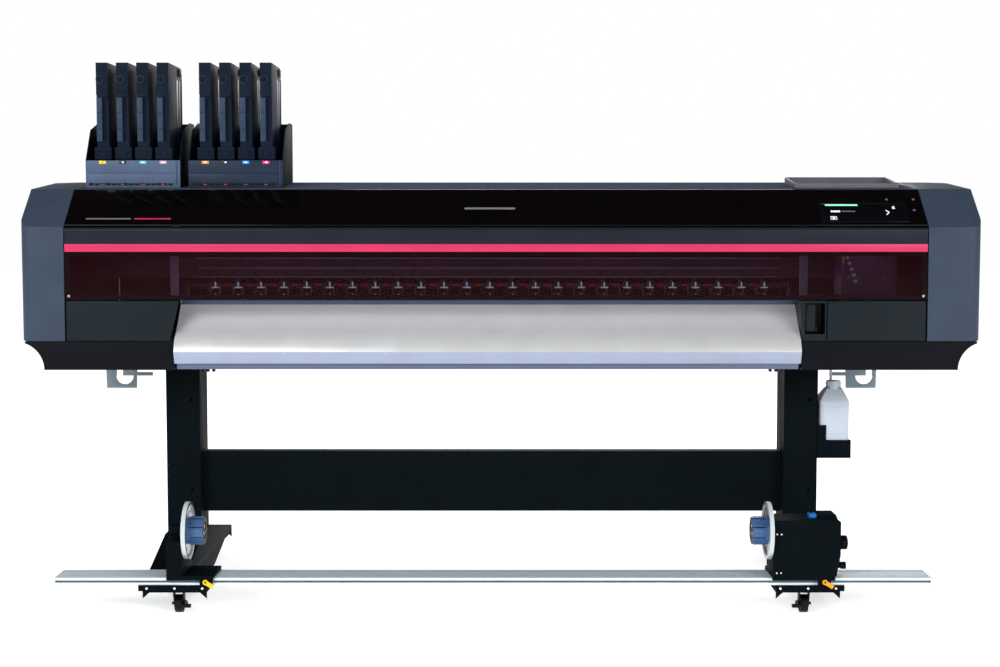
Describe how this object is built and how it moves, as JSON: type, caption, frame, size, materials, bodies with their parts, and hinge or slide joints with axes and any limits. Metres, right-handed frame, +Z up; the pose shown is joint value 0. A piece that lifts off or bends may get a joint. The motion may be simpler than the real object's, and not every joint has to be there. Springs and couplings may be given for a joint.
{
  "type": "wide format roll printer",
  "caption": "Wide roll-to-roll inkjet printer on a castered stand, with ink packs on top, a front window cover and a powered take-up rail.",
  "frame": {"origin": "on the floor, under the middle of the body's width and the feet's length", "axes": "+X to the user's right along the print line, -Y towards the user, +Z up"},
  "size_m": [2.72, 0.912, 1.5574],
  "materials": {
    "dark_cover": "satin moulded cover",
    "top_grey": "satin grey top cover",
    "under_cover": "matt black-blue lower cover",
    "gloss_black": "piano black panel",
    "stripe_pink": "gloss coloured strip",
    "tinted_window": "tinted acrylic window",
    "door_charcoal": "matt charcoal door",
    "apron_silver": "satin silver painted sheet",
    "platen_grey": "anodised platen",
    "machined_steel": "bright steel",
    "roller_rubber": "black rubber",
    "beam_dark": "dark anodised extrusion",
    "carriage_dark": "dark carriage cover",
    "belt_black": "toothed belt",
    "cap_black": "black moulding",
    "stand_black": "black powder coat",
    "chassis_steel": "dark coated sheet steel",
    "bay_blue_grey": "blue-grey moulding",
    "pack_dark": "dark blue-grey moulding",
    "screen_black": "black touch glass",
    "rail_aluminium": "clear anodised extrusion",
    "flange_white": "off-white moulding",
    "lever_yellow": "yellow moulding",
    "switch_blue": "blue rocker",
    "bottle_clear": "translucent bottle",
    "hook_grey": "grey coated plate",
    "caster_black": "black wheel tread",
    "fork_black": "black fork"
  },
  "bodies": {
    "root": {"chassis": "chassis_steel", "leg_left": "stand_black", "leg_right": "stand_black", "cross_beam": "stand_black", "foot_left": "stand_black", "foot_right": "stand_black", "side_cover_left": "dark_cover", "side_cover_right": "dark_cover", "lower_cover_left": "under_cover", "lower_cover_right": "under_cover", "top_cover": "top_grey", "rear_cover": "under_cover", "top_panel": "gloss_black", "apron": "apron_silver", "platen": "platen_grey", "platen_ribs": "platen_grey", "carriage_beam": "beam_dark", "drive_belt": "belt_black", "capping_station": "cap_black", "ink_bay_left": "bay_blue_grey", "ink_bay_right": "bay_blue_grey", "touch_screen": "screen_black", "tool_tray": "door_charcoal", "takeup_rail": "rail_aluminium", "waste_bottle": "bottle_clear", "media_hooks": "hook_grey"},
    "front_cover": {"cover_frame": "dark_cover", "cover_stripe": "stripe_pink", "cover_window": "tinted_window"},
    "door_left": {"door_left": "door_charcoal"},
    "door_right": {"door_right": "door_charcoal"},
    "media_lever": {"media_lever": "door_charcoal"},
    "pinch_arms": {"pinch_arms": "machined_steel"},
    "pinch_rollers": {"pinch_rollers": "roller_rubber"},
    "grit_roller": {"grit_roller": "machined_steel"},
    "carriage": {"carriage": "carriage_dark"},
    "idler_unit": {"idler_unit": "stand_black"},
    "idler_flange": {"idler_flange": "flange_white"},
    "clamp_lever_left": {"clamp_lever_left": "lever_yellow"},
    "motor_unit": {"motor_unit": "stand_black"},
    "motor_flange": {"motor_flange": "flange_white"},
    "clamp_lever_right": {"clamp_lever_right": "lever_yellow"},
    "takeup_switch": {"takeup_switch": "switch_blue"},
    "brake_pedal_left": {"brake_pedal_left": "cap_black"},
    "brake_pedal_right": {"brake_pedal_right": "cap_black"},
    "ink_pack_1": {"ink_pack_1": "pack_dark"},
    "ink_pack_2": {"ink_pack_2": "pack_dark"},
    "ink_pack_3": {"ink_pack_3": "pack_dark"},
    "ink_pack_4": {"ink_pack_4": "pack_dark"},
    "ink_pack_5": {"ink_pack_5": "pack_dark"},
    "ink_pack_6": {"ink_pack_6": "pack_dark"},
    "ink_pack_7": {"ink_pack_7": "pack_dark"},
    "ink_pack_8": {"ink_pack_8": "pack_dark"},
    "caster_fork_front_left": {"caster_fork_front_left": "fork_black"},
    "caster_wheel_front_left": {"caster_wheel_front_left": "caster_black"},
    "caster_fork_front_right": {"caster_fork_front_right": "fork_black"},
    "caster_wheel_front_right": {"caster_wheel_front_right": "caster_black"},
    "caster_fork_rear_left": {"caster_fork_rear_left": "fork_black"},
    "caster_wheel_rear_left": {"caster_wheel_rear_left": "caster_black"},
    "caster_fork_rear_right": {"caster_fork_rear_right": "fork_black"},
    "caster_wheel_rear_right": {"caster_wheel_rear_right": "caster_black"}
  },
  "joints": [
    {"name": "front_cover_hinge", "type": "hinge", "parent": "root", "child": "front_cover", "pos_m": [0, -0.281, 1.071], "axis": [-1, 0, 0], "range_deg": [0, 75]},
    {"name": "door_left_hinge", "type": "hinge", "parent": "root", "child": "door_left", "pos_m": [-1.227, -0.285, 0.8], "axis": [0, 0, -1], "range_deg": [0, 100]},
    {"name": "door_right_hinge", "type": "hinge", "parent": "root", "child": "door_right", "pos_m": [1.199, -0.285, 0.8], "axis": [0, 0, 1], "range_deg": [0, 100]},
    {"name": "media_lever_pivot", "type": "hinge", "parent": "root", "child": "media_lever", "pos_m": [0.877, -0.276, 0.792], "axis": [1, 0, 0], "range_deg": [0, 52]},
    {"name": "pinch_lift", "type": "hinge", "parent": "root", "child": "pinch_arms", "pos_m": [-0.038, -0.025, 0.905], "axis": [-1, 0, 0], "range_deg": [0, 8.6]},
    {"name": "pinch_spin", "type": "hinge", "parent": "pinch_arms", "child": "pinch_rollers", "pos_m": [-0.038, -0.07, 0.8798], "axis": [1, 0, 0], "continuous": true},
    {"name": "grit_spin", "type": "hinge", "parent": "root", "child": "grit_roller", "pos_m": [-0.038, -0.07, 0.8595], "axis": [1, 0, 0], "continuous": true},
    {"name": "carriage_slide", "type": "slide", "parent": "root", "child": "carriage", "axis": [1, 0, 0], "range_m": [-2.1, 0]},
    {"name": "ink_pack_1_lift", "type": "slide", "parent": "root", "child": "ink_pack_1", "axis": [0, 0, 1], "range_m": [0, 0.2]},
    {"name": "ink_pack_2_lift", "type": "slide", "parent": "root", "child": "ink_pack_2", "axis": [0, 0, 1], "range_m": [0, 0.2]},
    {"name": "ink_pack_3_lift", "type": "slide", "parent": "root", "child": "ink_pack_3", "axis": [0, 0, 1], "range_m": [0, 0.2]},
    {"name": "ink_pack_4_lift", "type": "slide", "parent": "root", "child": "ink_pack_4", "axis": [0, 0, 1], "range_m": [0, 0.2]},
    {"name": "ink_pack_5_lift", "type": "slide", "parent": "root", "child": "ink_pack_5", "axis": [0, 0, 1], "range_m": [0, 0.2]},
    {"name": "ink_pack_6_lift", "type": "slide", "parent": "root", "child": "ink_pack_6", "axis": [0, 0, 1], "range_m": [0, 0.2]},
    {"name": "ink_pack_7_lift", "type": "slide", "parent": "root", "child": "ink_pack_7", "axis": [0, 0, 1], "range_m": [0, 0.2]},
    {"name": "ink_pack_8_lift", "type": "slide", "parent": "root", "child": "ink_pack_8", "axis": [0, 0, 1], "range_m": [0, 0.2]},
    {"name": "idler_slide", "type": "slide", "parent": "root", "child": "idler_unit", "axis": [1, 0, 0], "range_m": [-0.25, 0.9]},
    {"name": "idler_spin", "type": "hinge", "parent": "idler_unit", "child": "idler_flange", "pos_m": [-0.88, -0.39, 0.236], "axis": [1, 0, 0], "continuous": true},
    {"name": "clamp_left_turn", "type": "hinge", "parent": "idler_unit", "child": "clamp_lever_left", "pos_m": [-0.816, -0.452, 0.103], "axis": [0, -1, 0], "range_deg": [0, 100]},
    {"name": "motor_slide", "type": "slide", "parent": "root", "child": "motor_unit", "axis": [1, 0, 0], "range_m": [-0.9, 0.24]},
    {"name": "motor_spin", "type": "hinge", "parent": "motor_unit", "child": "motor_flange", "pos_m": [0.751, -0.39, 0.236], "axis": [1, 0, 0], "continuous": true},
    {"name": "clamp_right_turn", "type": "hinge", "parent": "motor_unit", "child": "clamp_lever_right", "pos_m": [0.894, -0.452, 0.103], "axis": [0, -1, 0], "range_deg": [0, 100]},
    {"name": "takeup_switch_rock", "type": "hinge", "parent": "motor_unit", "child": "takeup_switch", "pos_m": [0.868, -0.388, 0.272], "axis": [1, 0, 0], "range_deg": [-10, 10]},
    {"name": "caster_swivel_front_left", "type": "hinge", "parent": "root", "child": "caster_fork_front_left", "pos_m": [-0.904, -0.38, 0.066], "axis": [0, 0, 1], "continuous": true},
    {"name": "caster_roll_front_left", "type": "hinge", "parent": "caster_fork_front_left", "child": "caster_wheel_front_left", "pos_m": [-0.904, -0.37, 0.025], "axis": [1, 0, 0], "continuous": true},
    {"name": "caster_swivel_front_right", "type": "hinge", "parent": "root", "child": "caster_fork_front_right", "pos_m": [0.85, -0.38, 0.066], "axis": [0, 0, 1], "continuous": true},
    {"name": "caster_roll_front_right", "type": "hinge", "parent": "caster_fork_front_right", "child": "caster_wheel_front_right", "pos_m": [0.85, -0.37, 0.025], "axis": [1, 0, 0], "continuous": true},
    {"name": "caster_swivel_rear_left", "type": "hinge", "parent": "root", "child": "caster_fork_rear_left", "pos_m": [-0.949, 0.38, 0.066], "axis": [0, 0, 1], "continuous": true},
    {"name": "caster_roll_rear_left", "type": "hinge", "parent": "caster_fork_rear_left", "child": "caster_wheel_rear_left", "pos_m": [-0.949, 0.39, 0.025], "axis": [1, 0, 0], "continuous": true},
    {"name": "caster_swivel_rear_right", "type": "hinge", "parent": "root", "child": "caster_fork_rear_right", "pos_m": [0.895, 0.38, 0.066], "axis": [0, 0, 1], "continuous": true},
    {"name": "caster_roll_rear_right", "type": "hinge", "parent": "caster_fork_rear_right", "child": "caster_wheel_rear_right", "pos_m": [0.895, 0.39, 0.025], "axis": [1, 0, 0], "continuous": true},
    {"name": "brake_left", "type": "hinge", "parent": "caster_fork_front_left", "child": "brake_pedal_left", "pos_m": [-0.904, -0.37, 0.025], "axis": [1, 0, 0], "range_deg": [0, 15]},
    {"name": "brake_right", "type": "hinge", "parent": "caster_fork_front_right", "child": "brake_pedal_right", "pos_m": [0.85, -0.37, 0.025], "axis": [1, 0, 0], "range_deg": [0, 15]}
  ],
  "couplings": [
    {"joint": "pinch_lift", "follows": "media_lever_pivot", "ratio": 0.165},
    {"joint": "pinch_spin", "follows": "grit_spin", "ratio": -1.2222}
  ]
}
